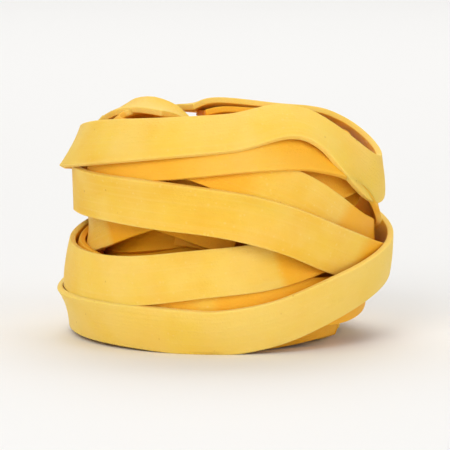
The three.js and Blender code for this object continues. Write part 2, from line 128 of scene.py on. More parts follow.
def drum_point(direction):
    """Point of the drum: radius and height looked up by latitude, turned to the bearing, lumpy."""
    share = 1 - np.arccos(np.clip(direction[..., 2], -1, 1)) / np.pi
    turn = np.arctan2(direction[..., 1], direction[..., 0])
    lump = 1 + sum(size * np.sin(waves * turn + phase) for size, waves, phase in LUMPS)
    radius = np.interp(share, OUTLINE[0], OUTLINE[1]) * lump
    height = np.interp(share, OUTLINE[0], OUTLINE[2])
    return np.stack([OVAL_X * radius * np.cos(turn), OVAL_Y * radius * np.sin(turn), height], -1)


def drum_normal(direction, spread=0.02):
    """Outward normal: the cross product of the drum's steps along two tangents of the globe."""
    steep = np.abs(direction[..., 2:3]) > STEEP
    aside = np.where(steep, np.array([1.0, 0, 0]), np.array([0, 0, 1.0]))
    first = unit(np.cross(aside, direction))
    second = np.cross(direction, first)
    steps = [
        drum_point(unit(direction + spread * axis)) - drum_point(unit(direction - spread * axis))
        for axis in (first, second)
    ]
    return unit(np.cross(*steps))


print("drum outline, millimetres:", OUTLINE[1].max().round(1), "by", OUTLINE[2].max().round(1))

# %% [markdown]
# ## Routes
#
# A route is a line of directions, so it can be drawn on a globe and then laid on the drum. Two
# kinds are needed. A winding goes round a tilted axis and wavers a little, as a hand does. A chosen
# route runs on one smooth curve through places that are given as they would be pointed out on the
# finished nest: how far round from the front, and how high up the side or how far out on the top.
# A table turns such a height or radius into the latitude that it has ten millimetres off the drum.

# %% Places on the nest
TABLE_LATITUDES = np.linspace(-80, 90, 681)
SIDE_UP_TO, TOP_FROM = 50, 30  # latitudes where the side's table ends and the top's begins


def latitude_tables():
    """Latitudes by the height of the finished side, and by the radius of the finished top."""
    latitude = TABLE_LATITUDES
    angle = np.radians(latitude)
    direction = np.stack([np.cos(angle), 0 * angle, np.sin(angle)], -1)
    point = drum_point(direction) + COVER * drum_normal(direction)
    low, high = latitude <= SIDE_UP_TO, latitude >= TOP_FROM
    heights = np.maximum.accumulate(point[low, 2])
    radii = np.maximum.accumulate(point[high, 0][::-1])
    return (heights, latitude[low]), (radii, latitude[high][::-1])


SIDE_TABLE, TOP_TABLE = latitude_tables()


def side(azimuth, height):
    """A place on the side, as azimuth from the front and latitude."""
    return azimuth, np.interp(height, *SIDE_TABLE)


def top(azimuth, radius):
    """A place on the top, as azimuth from the front and latitude."""
    return azimuth, np.interp(radius, *TOP_TABLE)


print("a side place 20 mm up has latitude", round(float(side(0, 20)[1]), 1))

# %% Routes
MOST_LEVEL = 0.95  # furthest that a winding may lie along its axis


def curve_weights(count, places):
    """Weights of a Catmull-Rom curve: at each place, the four nearest rows count by cubics of the
    fraction that the place lies past its row. Beyond its ends, the curve is taken to go straight
    on."""
    row = np.clip(places.astype(int), 0, count - 2)
    past = places - row
    cubics = [
        -past + 2 * past**2 - past**3,
        2 - 5 * past**2 + 3 * past**3,
        past + 4 * past**2 - 3 * past**3,
        -(past**2) + past**3,
    ]
    weights = np.zeros((len(places), count + 2))
    for shift, cubic in enumerate(cubics):
        weights[np.arange(len(places)), row + shift] += 0.5 * cubic
    weights[:, 1] += 2 * weights[:, 0]
    weights[:, 2] -= weights[:, 0]
    weights[:, -2] += 2 * weights[:, -1]
    weights[:, -3] -= weights[:, -1]
    return weights[:, 1:-1]


def chosen_route(places, steps=60):
    """Directions along one smooth curve through the chosen azimuths and latitudes."""
    spans = len(places) - 1
    at = np.linspace(0, spans, steps * spans + 1)
    azimuth, latitude = np.radians(curve_weights(len(places), at) @ np.array(places)).T
    turn = azimuth - np.pi / 2
    flat = np.cos(latitude)
    return np.stack([flat * np.cos(turn), flat * np.sin(turn), np.sin(latitude)], -1)


def winding_route(tilt, toward, start, sweep, level, drift, wavers, steps=400):
    """Directions round a tilted axis: the turn grows evenly from start by sweep, and the height
    along the axis drifts and wavers as sines of the turn."""
    axis = np.array(
        [math.sin(tilt) * math.cos(toward), math.sin(tilt) * math.sin(toward), math.cos(tilt)]
    )
    first = unit(np.cross([0, 0, 1.0], axis))
    second = np.cross(axis, first)
    along = np.linspace(0, 1, steps)
    turn = start + sweep * along
    height = level + drift * along
    height += sum(size * np.sin(waves * turn + phase) for size, waves, phase in wavers)
    height = np.clip(height, -MOST_LEVEL, MOST_LEVEL)[:, None]
    ring = np.cos(turn)[:, None] * first + np.sin(turn)[:, None] * second
    return np.sqrt(1 - height**2) * ring + height * axis


print("weights halfway between two places:", curve_weights(4, np.array([1.5]))[0].round(3))

# %% [markdown]
# ## The pile
#
# A ribbon lies on whatever was laid before it. One way to find that out is a physics run with soft
# bodies, which is slow and hard to repeat exactly. Here thousands of feelers stand on the drum, and
# each remembers how high the pile has grown on it.

# %% Feelers
FEELERS = 9000


def make_pile(start=0.0):
    """Feelers at even spacing on a golden spiral over the globe, all at the starting height."""
    place = np.arange(FEELERS) + 0.5
    height = 1 - 2 * place / FEELERS
    turn = math.pi * (1 + math.sqrt(5)) * place
    girth = np.sqrt(1 - height**2)
    direction = np.stack([girth * np.cos(turn), girth * np.sin(turn), height], -1)
    pile = {"point": drum_point(direction), "normal": drum_normal(direction)}
    return {**pile, "height": np.full(FEELERS, start), "start": start}


print("feelers:", FEELERS)

# %% [markdown]
# ## Stations and rows
#
# A ribbon is laid station by station, one every 2 mm over the drum, and at each it feels the pile
# at seven places across its width. Its heights are then rows of seven numbers. Two things are done
# to such rows: each takes the highest of its neighbours, or all are smoothed along the ribbon.

# %% Stations and rows
STATION = 2.0  # distance between two stations of a ribbon, measured over the drum
FEWEST_STATIONS = 8
ACROSS = 7  # places across the ribbon where it feels what lies under it
WIDTHS = RIBBON_WIDTH * np.linspace(-0.5, 0.5, ACROSS)


def even_route(route):
    """The same route with places an equal length apart over the drum."""
    steps = np.linalg.norm(np.diff(drum_point(route), axis=0), axis=1)
    run = np.append(0, np.cumsum(steps))
    count = max(FEWEST_STATIONS, round(run[-1] / STATION))
    at = np.linspace(0, run[-1], count + 1)
    return unit(np.stack([np.interp(at, run, route[:, axis]) for axis in range(3)], -1))


def along_rows(rows, reach, join):
    """Each row joined with its neighbours up to reach rows away; the end rows are repeated."""
    padded = np.pad(rows, ((reach, reach), (0, 0)), mode="edge")
    windows = np.stack([padded[i : i + len(rows)] for i in range(2 * reach + 1)])
    return join(windows)


def smooth_rows(rows, sigma):
    """Each column smoothed along the rows by a bell curve, cut off at three sigmas."""
    reach = int(3 * sigma)
    bell = np.exp(-0.5 * (np.arange(-reach, reach + 1) / sigma) ** 2)
    return along_rows(rows, reach, lambda windows: np.tensordot(bell / bell.sum(), windows, 1))


print("places across, millimetres:", WIDTHS.round(1))
step = np.repeat([0.0, 1.0], 4)[:, None]
print("a step, smoothed:", smooth_rows(step, 1.0)[:, 0].round(2))

# %% [markdown]
# ## How a ribbon settles
#
# A flat strip can tilt and bend along its length, but it hardly dents across it. So at each station
# the ribbon takes a level, a slope and a slight bow. What it can't follow it bridges, and that
# leaves the small dark gaps that make a nest look wound.
#
# Nor does a flat strip bend edgewise. Round a shoulder it would rather stand upright than lie back
# on it, so the ribbons that show lean from the drum's normal towards the outside of their bend.

# %% Settling
BRIDGE = 1  # stations that the ribbon holds level past a high place
STIFFNESS = 2.0  # stations over which it bends along its length
EVENED = 1.5  # stations over which its level and slope are evened
LIFT_EVENED = 2.0  # and over which the rise past a high place is
MOST_SLOPE = 0.25
MOST_BOW = 0.03
BOW_KEPT = 0.8
SETTLED = 0.3  # share of a high place that lifts the whole ribbon

BOWS = WIDTHS**2 - (WIDTHS**2).mean()
print("shape of a bow across the ribbon:", BOWS.round(1))


def settle(rest):
    """Rows of heights fitted by a level, a limited slope and a limited bow."""
    slope = rest @ WIDTHS / (WIDTHS**2).sum()
    bow = BOW_KEPT * (rest @ BOWS) / (BOWS**2).sum()
    slope = np.clip(slope, -MOST_SLOPE, MOST_SLOPE)
    bow = np.clip(bow, -MOST_BOW, MOST_BOW)
    level, slope, bow = smooth_rows(np.stack([rest.mean(1), slope, bow], 1), EVENED).T[..., None]
    return level + slope * WIDTHS + bow * BOWS


def drape(felt, lift, roof):
    """Heights of a ribbon's underside on the rows that it felt. They are held level past high
    places, smoothed and settled, then lifted by a share of what still stands proud, and no higher
    than the roof."""
    rest = along_rows(felt, BRIDGE, lambda windows: windows.max(0))
    rest = smooth_rows(rest, STIFFNESS)
    draped = settle(rest)
    proud = smooth_rows(np.maximum(rest - draped, 0).max(1, keepdims=True), LIFT_EVENED)
    return np.minimum(draped + SETTLED * proud + lift, roof)


def off_line(vectors, along):
    """The part of each vector that is square to the line, made one long."""
    return unit(vectors - (vectors * along).sum(-1, keepdims=True) * along)


def stand_up(point, normal, along, weight):
    """Leans the normal against the bend, which is how fast the line turns, and moves the point so
    that the place COVER above it stays where it was."""
    bend = smooth_rows(np.gradient(along, STATION, axis=0), STIFFNESS)
    upright = off_line(normal - weight * bend, along)
    return point + COVER * (normal - upright), upright


# %% [markdown]
# ## Laying one ribbon
#
# A ribbon is laid in five steps. It stands up round its bends, feels the pile, drapes itself over
# it, is pressed by the tray where it faces down, and raises the pile for the ribbons to come.

# %% Feeling and raising the pile
STRIP_HALF = 0.8 * STATION  # how far along the ribbon from a station a feeler counts
FEEL_HALF = 1.1  # and how far across from a place
SIDE_REACH = 7  # a feeler further out of the ribbon's plane belongs to another side
SAME_SIDE = 0.2  # smallest cosine between two normals of one side
EDGE_ROOM = 0.3  # how far past its edges a ribbon raises the pile
AIR = 0.05
LAST_PLACE = ACROSS - 1.001  # a hair before the last place across, so that one more follows


def feel_pile(pile, point, normal, along, across):
    """Heights of the pile at each station and place across: the most that a feeler in that spot
    reaches. Feelers and stations are compared at the pile's mean height. Returned with the heights
    are how far aside and out of each station each feeler stands, and whether it is beside it."""
    grown = pile["height"].mean()
    near = pile["point"][:, None] + grown * (pile["normal"][:, None] - normal) - point
    aside, out = (near * across).sum(-1), (near * normal).sum(-1)
    beside = np.abs((near * along).sum(-1)) < STRIP_HALF
    beside &= (np.abs(out) < SIDE_REACH) & (pile["normal"] @ normal.T > SAME_SIDE)
    bare = pile["start"]
    reach = np.where(beside, pile["height"][:, None] + out, bare)
    felt = [
        np.where(np.abs(aside - a) < FEEL_HALF, reach, bare).max(0, initial=bare) for a in WIDTHS
    ]
    return np.stack(felt, 1), aside, out, beside


def raise_pile(pile, under, aside, out, beside):
    """Raises each feeler under a ribbon to the ribbon's upper side there, and a little air."""
    feeler, row = np.nonzero(beside & (np.abs(aside) < RIBBON_WIDTH / 2 + EDGE_ROOM))
    place = (aside[feeler, row] / RIBBON_WIDTH + 0.5) * (ACROSS - 1)
    place = np.clip(place, 0, LAST_PLACE)
    left = place.astype(int)
    height = under[row, left] * (1 - place + left) + under[row, left + 1] * (place - left)
    raised = height + RIBBON_THICK + AIR - out[feeler, row]
    np.maximum.at(pile["height"], feeler, raised)


print("a feeler counts within", STRIP_HALF, "mm along and", FEEL_HALF, "mm across")

# %% Laying a ribbon
TRAY_FACING = 0.3  # a ribbon whose normal dips more than this is pressed by the tray


def press_on_tray(under, point, normal, across, tray_gap):
    """Heights of the underside, no more than leave the ribbon its thickness and a gap above the
    tray, wherever it faces down."""
    down = -normal[:, 2:]
    room = (point[:, 2:] + WIDTHS * across[:, 2:]) / np.maximum(down, TRAY_FACING)
    return np.where(down > TRAY_FACING, np.minimum(under, room - RIBBON_THICK - tray_gap), under)


def lay_ribbon(pile, route, lift=0.0, tray_gap=0.0, roof=math.inf, upright=0.0):
    """Lays one ribbon on the pile: its middle surface is the drum's point, plus across times the
    place across, plus the normal times the settled height and half the thickness."""
    direction = even_route(route)
    point, normal = drum_point(direction), drum_normal(direction)
    along = unit(np.gradient(point, axis=0))
    sideways = 1 - direction[:, 2:] ** 2
    point, normal = stand_up(point, off_line(normal, along), along, upright * sideways)
    across = np.cross(normal, along)
    felt, aside, out, beside = feel_pile(pile, point, normal, along, across)
    under = press_on_tray(drape(felt, lift, roof), point, normal, across, tray_gap)
    raise_pile(pile, under, aside, out, beside)
    heights = (under + RIBBON_THICK / 2)[..., None]
    return point[:, None] + WIDTHS[:, None] * across[:, None] + heights * normal[:, None]


over_bare_drum = lay_ribbon(make_pile(), winding_route(math.pi / 2, 0, 0, math.pi, 0, 0, []))
print("half a turn over the bare drum, millimetres:", STATION * (len(over_bare_drum) - 1))

# %% [markdown]
# ## The order of the winding
#
# The nest is wound from the inside out: a few ribbons under the foot, rings round the girth, a few
# more under the foot, crossings over the top, more rings, and last the strands that show. Those are
# placed one by one, because they make this nest the one it is: a wide foot that sweeps up to the
# right, a big diagonal across the front, a cap round the rim and bands that fall away to the right.
# Their places are azimuths in degrees from the front to the right, with heights or radii.

# %% The strands that show
OUTER_STRANDS = {
    "rim": [
        side(-230, 35), side(-180, 36), side(-140, 36.5), side(-100, 37), side(-60, 37),
        side(-20, 37), side(20, 37), side(60, 36), side(100, 34),
    ],
    "tray ring": [
        side(-200, 5), side(-150, 4), side(-110, 3.5), side(-60, 3), side(-20, 3), side(20, 4),
        side(60, 6),
    ],
    "lower left band": [
        top(-255, 14), top(-228, 21), side(-205, 32), side(-185, 26), side(-165, 20),
        side(-120, 17), side(-90, 14.5), side(-45, 12), side(-20, 10.5), side(0, 9.5),
        side(30, 9), side(60, 9), side(100, 12), side(140, 16), side(175, 14), side(205, 9),
        side(230, 4), side(250, 0),
    ],
    "shaded band": [
        side(-168, 19.5), side(-140, 18), side(-110, 16), side(-70, 13.5), side(-40, 13),
        side(-10, 14.5), side(20, 16), side(50, 18.5), side(80, 21), side(120, 23), side(170, 19),
        side(205, 16),
    ],
    "right rise": [
        side(12, 23), side(25, 22), side(40, 23.5), side(60, 28), side(80, 33), top(105, 24),
        top(135, 20), top(165, 18), top(195, 15),
    ],
    "band under the cap": [
        side(-185, 22), side(-130, 29), side(-90, 31), side(-50, 32), side(-10, 31), side(30, 30),
        side(70, 32), side(110, 34), side(140, 30),
    ],
    "second diagonal": [
        top(-125, 15), top(-95, 20), side(-66, 37.5), side(-45, 37.5), side(-24, 36),
        side(0, 32.5), side(30, 27), side(60, 20.5), side(85, 17), side(120, 13), side(165, 10),
        side(205, 6.5), side(230, 3), side(252, 0),
    ],
    "right fall": [
        side(-62, 33), side(-25, 34.5), side(10, 35.5), side(40, 34.5), side(62, 31),
        side(85, 25), side(120, 21), side(160, 23), side(200, 27), side(235, 30), side(262, 30.5),
    ],
    "big diagonal": [
        side(-183, 15), side(-160, 18), side(-130, 22.7), side(-90, 26.9), side(-60, 27.2),
        side(-30, 26.4), side(0, 24.5), side(25, 21.5), side(50, 17.5), side(75, 14),
        side(110, 10), side(140, 6.5), side(165, 3), side(188, 0),
    ],
    "back fall": [
        top(290, 8), top(262, 17), side(236, 36), side(212, 31), side(194, 22), side(183, 14),
        side(178, 8), side(176, 6),
    ],
    "cap": [
        side(-201, 4), side(-193, 11), side(-182, 19), side(-165, 26.5), side(-125, 31.5),
        side(-90, 33.8), side(-45, 36.3), side(0, 38), side(40, 38), top(75, 27), top(110, 23),
        top(150, 20), top(185, 17), top(212, 14),
    ],
    "foot": [
        side(-240, 2), side(-212, 4.5), side(-185, 6.5), side(-125, 7), side(-90, 5.6),
        side(-45, 5), side(-15, 4.6), side(0, 4.8), side(25, 7), side(50, 10.5), side(75, 14),
        side(110, 19), side(145, 24.5), side(178, 29), side(208, 32.5), side(240, 34.5),
    ],
}
print("strands that show:", len(OUTER_STRANDS))

# %% [markdown]
# ## The inner windings
#
# The windings under those strands follow a short table, from the inside out. Each row is a set of
# like windings: rings, or crossings under the foot or over the top. A level says how far along its
# axis a winding lies, sweeps are in degrees, and the lift is how far a ribbon may lie loose on the
# pile. Crossings turn on by the golden angle from one to the next. The rings of a set share out its
# levels, from the lowest over the spread, by the golden ratio. So no two windings lie alike.
#
# What the table leaves open is drawn from a seed, so that each run gives the same nest.

# %% A seeded draw
SEED = 7
DRAW_FACTOR, DRAW_STEP, DRAW_RANGE = 1664525, 1013904223, 2**32


def seeded_draw(seed):
    """Gives a function that draws the next number between low and high, the same on each run. Each
    state is the last one times a factor, plus a step, wrapped round at the end of the range."""
    state = [seed]

    def draw(low, high):
        state[0] = (state[0] * DRAW_FACTOR + DRAW_STEP) % DRAW_RANGE
        return low + (high - low) * state[0] / DRAW_RANGE

    return draw


print("the seed's first draw between 0 and 1:", round(seeded_draw(SEED)(0, 1), 3))

# %% Rings and crossings
RING_TILT = (5, 30)  # degrees that a ring's axis leans
RING_DRIFT = (-0.1, 0.1)
RING_WAVERS = [(2, (0.02, 0.06)), (3, (0.01, 0.03))]  # waves in a turn, and least and most size
CROSSING_TILT = (72, 90)
CROSSING_WAVERS = [(2, (0.02, 0.07))]
OVER_TOP, UNDER_FOOT = math.pi / 2, -math.pi / 2  # turns round the axis at which they lie


def draw_wavers(draw, kinds):
    """One waver of each kind: how many waves it has, with a drawn size and a drawn phase."""
    return [(draw(*sizes), waves, draw(0, math.tau)) for waves, sizes in kinds]


def ring_route(draw, level, sweeps):
    """A winding round the girth, on an axis that leans a little."""
    tilt, toward, start = math.radians(draw(*RING_TILT)), draw(0, math.tau), draw(0, math.tau)
    sweep, drift = math.radians(draw(*sweeps)), draw(*RING_DRIFT)
    return winding_route(tilt, toward, start, sweep, level, drift, draw_wavers(draw, RING_WAVERS))


def crossing_route(draw, toward, level, sweeps, middle):
    """A winding over the top or under the foot, on an axis that lies nearly level."""
    sweep = math.radians(draw(*sweeps))
    tilt = math.radians(draw(*CROSSING_TILT))
    wavers = draw_wavers(draw, CROSSING_WAVERS)
    return winding_route(tilt, toward, middle - sweep / 2, sweep, level, 0, wavers)


print("axes lean, degrees: rings", RING_TILT, "crossings", CROSSING_TILT)

# %% The inner windings
GOLDEN_ANGLE = math.pi * (3 - math.sqrt(5))
INNER_WINDINGS = [
    dict(kind="foot", count=3, turn=0, level=0.3, sweeps=(130, 170), lift=0.4),
    dict(kind="ring", count=4, lowest=-0.6, spread=1.2, share=0.382, sweeps=(240, 330), lift=0.3),
    dict(kind="foot", count=3, turn=1.2, level=0.4, sweeps=(130, 170), lift=0.4),
    dict(kind="top", count=5, turn=0.4, level=0.42, sweeps=(150, 190), lift=0.4),
    dict(kind="ring", count=3, lowest=-0.3, spread=0.9, share=0.618, sweeps=(200, 300), lift=0.3),
]


def inner_route(draw, k, kind, sweeps, turn=0, level=0, lowest=0, spread=0, share=0):
    """Winding number k of a set. Rings share the height out between them; crossings over the top
    lie on one side of it and the other in turn."""
    if kind == "ring":
        return ring_route(draw, lowest + spread * ((k * share) % 1), sweeps)
    toward = GOLDEN_ANGLE * k + turn
    if kind == "top":
        return crossing_route(draw, toward, (-1) ** k * draw(0, level), sweeps, OVER_TOP)
    return crossing_route(draw, toward, draw(-level, level), sweeps, UNDER_FOOT)


def inner_windings(draw):
    """The windings of the table in their order, with how far each is lifted."""
    routes = []
    for row in INNER_WINDINGS:
        settings = {name: row[name] for name in row if name not in ("count", "lift")}
        for k in range(row["count"]):
            route = inner_route(draw, k, **settings)
            routes.append((route, draw(0, row["lift"])))
    return routes


print("inner windings:", sum(row["count"] for row in INNER_WINDINGS))

# %% [markdown]
# ## Laying the ribbons
#
# Now all the ribbons are laid, each on the pile that the ones before it left. Those that show stand
# up round their bends. The earlier a ribbon is, the higher it stops above the tray.

# %% Laying the ribbons
CHOSEN_LIFT = 0.2
UPRIGHT = 10.0  # how strongly a ribbon that shows stands up round a bend
TRAY_STAGGER = 0.015  # how much higher each earlier ribbon stops above the tray

winding_draw = seeded_draw(SEED)
inner_routes = inner_windings(winding_draw)
outer_routes = [
    (chosen_route(places), winding_draw(0, CHOSEN_LIFT)) for places in OUTER_STRANDS.values()
]
pile = make_pile()
laid = []
for route, lift in inner_routes + outer_routes:
    later = len(inner_routes) + len(outer_routes) - 1 - len(laid)
    upright = UPRIGHT if later < len(outer_routes) else 0.0
    laid.append(lay_ribbon(pile, route, lift, TRAY_STAGGER * later, upright=upright))
steps = sum(len(ribbon) - 1 for ribbon in laid)
print("ribbons laid:", len(laid), "in all", steps * STATION / 1000, "m, measured over the drum")

# %% [markdown]
# ## Deep ribbons and the heart
#
# Between the ribbons an eye can look some millimetres deep, so there has to be pasta below the
# first layer too. More windings are laid on a pile that starts under the drum's surface, and a
# roof keeps them beneath it. Inside them sits a plain closed heart, which only stops the view.

# %% Deep ribbons
DEEP_START = -3.4  # height over the drum at which their pile starts
DEEP_ROOF = -RIBBON_THICK - AIR  # highest that their undersides may lie
DEEP_CROSSINGS = 9
DEEP_RINGS = 5
DEEP_LEVEL = 0.6
DEEP_TURN = 0.9
DEEP_CROSSING_SWEEPS = (150, 230)
DEEP_RING_SWEEPS = (200, 330)
DEEP_TRAY_GAP = 60 * TRAY_STAGGER  # more than any ribbon over them has
DEEP_SEED = SEED + 20


def deep_route(draw, k):
    """Crossings over the top come first and rings after them, at any level."""
    level = draw(-DEEP_LEVEL, DEEP_LEVEL)
    if k >= DEEP_CROSSINGS:
        return ring_route(draw, level, DEEP_RING_SWEEPS)
    toward = GOLDEN_ANGLE * k + DEEP_TURN
    return crossing_route(draw, toward, level, DEEP_CROSSING_SWEEPS, OVER_TOP)


deep_draw = seeded_draw(DEEP_SEED)
deep_pile = make_pile(DEEP_START)
deep = []
for k in range(DEEP_CROSSINGS + DEEP_RINGS):
    route = deep_route(deep_draw, k)
    deep.append(lay_ribbon(deep_pile, route, tray_gap=DEEP_TRAY_GAP, roof=DEEP_ROOF))
print("deep ribbons:", len(deep))

# %% [markdown]
# ## From middle surfaces to ribbons
#
# Each laid ribbon is a grid of points in the middle of its thickness. The real ribbon's section is
# a flat strip whose cut edges are slightly rounded. That section is carried along the ribbon: a
# smooth curve through the rows gives finer rows, the section's place across picks the point on the
# row, and its depth is added along the surface's own normal. Near its two ends the section draws
# in a little, so the cut ends are rounded too.
#
# Dry ribbons are never quite even. Slow waves make the ribbon a hair wider and narrower, and let
# its edges lift off what lies under them.

# %% The ribbon's section
CORNER = 0.18  # how far the cut edges are rounded
CORNER_TURNS = np.radians([0, 30, 60, 90])
FLAT_PLACES = np.array([-1, -0.94, -0.7, -0.35, 0, 0.35, 0.7, 0.94])  # shares of the flat's half


def ribbon_section():
    """Places across and depths round the section, from the upper left corner towards the right:
    a flat of points, then quarter circles round the cut edge, then the lower flat and back."""
    flat = RIBBON_WIDTH / 2 - CORNER
    places = flat * FLAT_PLACES
    sine, cosine = np.sin(CORNER_TURNS), np.cos(CORNER_TURNS)
    half = RIBBON_THICK / 2 - CORNER
    edge_across = np.append(flat + CORNER * sine, (flat + CORNER * sine)[::-1])
    edge_depth = np.append(half + CORNER * cosine, -(half + CORNER * cosine)[::-1])
    half_across = np.append(places, edge_across[:-1])
    half_depth = np.append(np.full(len(places), RIBBON_THICK / 2), edge_depth[:-1])
    return np.append(half_across, -half_across), np.append(half_depth, -half_depth)


SECTION_ACROSS, SECTION_DEPTH = ribbon_section()
print("points round the section:", len(SECTION_ACROSS))

# %% Uneven ribbons
ROW_STEP = 0.7  # distance between two even rows of points
END_ROOM = 0.3  # between the rounded end and the first even row
FEWEST_ROWS = 4
SWELL = 0.02  # share by which the width swells and shrinks
SWELL_LENGTHS = (8, 30)  # shortest and longest wave of it
EDGE_LIFT = 0.45  # how far an edge may lift or press
LIFT_LENGTHS = (14, 45)
SINES = 3


def row_places(length):
    """Distances along a ribbon: even steps between, closer ones round the two cut ends."""
    end = CORNER * (1 - np.cos(CORNER_TURNS))
    count = max(FEWEST_ROWS, round(length / ROW_STEP))
    inner = np.linspace(CORNER + END_ROOM, length - CORNER - END_ROOM, count)
    return np.concatenate([end, inner, length - end[::-1]])


def slow_waves(draw, at, size, lengths):
    """A sum of sines along the ribbon with drawn wavelengths and phases, at most size."""
    waves = [(math.tau / draw(*lengths), draw(0, math.tau)) for _ in range(SINES)]
    return size / SINES * sum(np.sin(rate * at + phase) for rate, phase in waves)


def uneven_section(at, length, draw):
    """Place across and depth of each section point, at each distance along. The width swells and
    shrinks, the ends are drawn in round the cut, and each edge's wave counts by the square of the
    place across, so it lifts or presses that edge."""
    from_end = np.minimum(at, length - at)
    inset = CORNER - np.sqrt(np.maximum(CORNER**2 - np.maximum(CORNER - from_end, 0) ** 2, 0))
    half = RIBBON_WIDTH / 2
    edge = 1 - slow_waves(draw, at, SWELL, SWELL_LENGTHS) - SWELL - inset / half
    place = SECTION_ACROSS * edge[:, None]
    depth = SECTION_DEPTH * (1 - inset / (RIBBON_THICK / 2))[:, None]
    lifts = [slow_waves(draw, at, EDGE_LIFT, LIFT_LENGTHS)[:, None] for _ in range(2)]
    return place, depth + np.where(place < 0, *lifts) * (place / half) ** 2


print("rows along 100 mm of ribbon:", len(row_places(100)))

# %% The ribbon's surface
def ribbon_surface(middle, draw):
    """Ribbon vertices: middle surface at (distance, place across) plus its normal times the depth.
    Returns rows of section points, with the distance along and the place across of each."""
    length = STATION * (len(middle) - 1)
    at = row_places(length)
    place, depth = uneven_section(at, length, draw)
    fine = np.einsum("rm,mkc->rkc", curve_weights(len(middle), at / STATION), middle)
    columns = (place / RIBBON_WIDTH + 0.5) * (ACROSS - 1)
    left = np.clip(columns.astype(int), 0, ACROSS - 2)
    past = (columns - left)[..., None]
    row = np.arange(len(at))[:, None]
    carried = fine[row, left] * (1 - past) + fine[row, left + 1] * past
    normals = unit(np.cross(np.gradient(fine, axis=0), np.gradient(fine, axis=1)))
    normal = unit(normals[row, left] * (1 - past) + normals[row, left + 1] * past)
    points = carried + normal * depth[..., None]
    return points, np.broadcast_to(at[:, None], place.shape), place


def ribbon_faces(rows, columns):
    """Four-sided faces between neighbouring sections, and one face over each cut end."""
    row, column = np.mgrid[0 : rows - 1, 0:columns]
    following = (column + 1) % columns
    corners = [row * columns + column, (row + 1) * columns + column]
    corners += [(row + 1) * columns + following, row * columns + following]
    sides = np.stack(corners, -1).reshape(-1, 4)
    first = np.arange(columns)
    return sides, first, (rows - 1) * columns + first[::-1]


print("faces round one step of ribbon:", len(ribbon_faces(2, len(SECTION_ACROSS))[0]))

# %% [markdown]
# ## One mesh for each kind
#
# A nest has dozens of ribbons, and as separate objects they would only clutter the scene. So all
# ribbons of one kind become one mesh. Every vertex also keeps four numbers that the finish will
# read: how far along and across its ribbon it lies, a number drawn for its ribbon, and how deeply
# it is buried under later ribbons. The last sets how much painted orange shade it gets.

# %% How deep a point is buried
BURIED_FULL = 6.0  # depth that counts as fully buried
BELOW_COUNTS = 4.0  # how much a point below a feeler's foot counts as further off
POINTS_AT_ONCE = 2000


def buried_share(points):
    """How deep points lie under the finished pile, from 0 at its skin to 1 at full depth: the
    height of the nearest feeler's pile, less the point's own height over the drum there. Nearest
    is by the distance off the feeler's line, and a point below the feeler's foot counts as
    further off."""
    share = []
    for chunk in np.array_split(points, max(1, len(points) // POINTS_AT_ONCE)):
        gap = chunk[:, None] - pile["point"]
        height = (gap * pile["normal"]).sum(-1)
        off = (gap**2).sum(-1) - height**2
        nearest = np.argmin(off + BELOW_COUNTS * np.maximum(-height, 0), axis=1)
        depth = pile["height"][nearest] - height[np.arange(len(chunk)), nearest]
        share.append(np.clip(depth / BURIED_FULL, 0, 1))
    return np.concatenate(share)


first_buried = buried_share(laid[0][:, ACROSS // 2])
print("the first ribbon is buried by", first_buried.mean().round(2), "of the full depth")

# %% Pieces
def add_object(name, data):
    """An object for a mesh, a light or a camera, linked to the scene."""
    thing = bpy.data.objects.new(name, data)
    bpy.context.scene.collection.objects.link(thing)
    return thing


def make_piece(name, points, faces):
    """A smooth mesh of points and faces, as an object of the same name."""
    mesh = bpy.data.meshes.new(name)
    mesh.from_pydata(points.tolist(), [], faces)
    mesh.shade_smooth()
    print(name, "triangles:", sum(len(face.vertices) - 2 for face in mesh.polygons))
    return add_object(name, mesh)


# %% Joining ribbons
VERTEX_NUMBERS = ("along", "across", "strand", "buried")
TRAY_PRESS = 0.35  # how much the lowest ribbons are flattened on the tray
RIPPLE_SEED = SEED + 1
ripple_draw = seeded_draw(RIPPLE_SEED)


def joined_ribbons(name, middles, laid_after):
    """One closed mesh of ribbons with its vertex numbers, and its points. The tray presses each
    ribbon flat: the last one lowest, and each of the others a hair higher for every ribbon laid
    after it."""
    points, numbers, faces, ends, count = [], [], [], [], 0
    for later, middle in zip(range(laid_after + len(middles) - 1, -1, -1), middles):
        surface, along, across = ribbon_surface(middle, ripple_draw)
        surface[..., 2] = np.maximum(surface[..., 2], TRAY_PRESS + TRAY_STAGGER * later)
        rows, columns = surface.shape[:2]
        sides, first, last = ribbon_faces(rows, columns)
        centre = buried_share(middle[:, ACROSS // 2])
        buried = np.interp(along[:, 0], STATION * np.arange(len(middle)), centre)
        strand = np.full(surface.shape[:2], ripple_draw(0, 1))
        buried = np.broadcast_to(buried[:, None], strand.shape)
        points.append(surface.reshape(-1, 3))
        numbers.append(np.stack([along, across, strand, buried], -1).reshape(-1, 4))
        faces.append(sides + count)
        ends += [(first + count).tolist(), (last + count).tolist()]
        count += rows * columns
    points = np.concatenate(points)
    piece = make_piece(name, points, np.concatenate(faces).tolist() + ends)
    for label, values in zip(VERTEX_NUMBERS, np.concatenate(numbers).T):
        piece.data.attributes.new(label, "FLOAT", "POINT").data.foreach_set("value", values)
    return piece, points


outer_count = len(OUTER_STRANDS)
outer_ribbons, outer_points = joined_ribbons("outer_ribbons", laid[-outer_count:], 0)
inner_ribbons, inner_points = joined_ribbons("inner_ribbons", laid[:-outer_count], outer_count)
deep_ribbons, _ = joined_ribbons("deep_ribbons", deep, len(laid))
print("closed ribbons joined:", len(laid) + len(deep))

# %% [markdown]
# ## The heart's shape
#
# The heart is the drum again, sunk a few millimetres. It could be left open below, but a closed
# surface is safe to look at from any side.

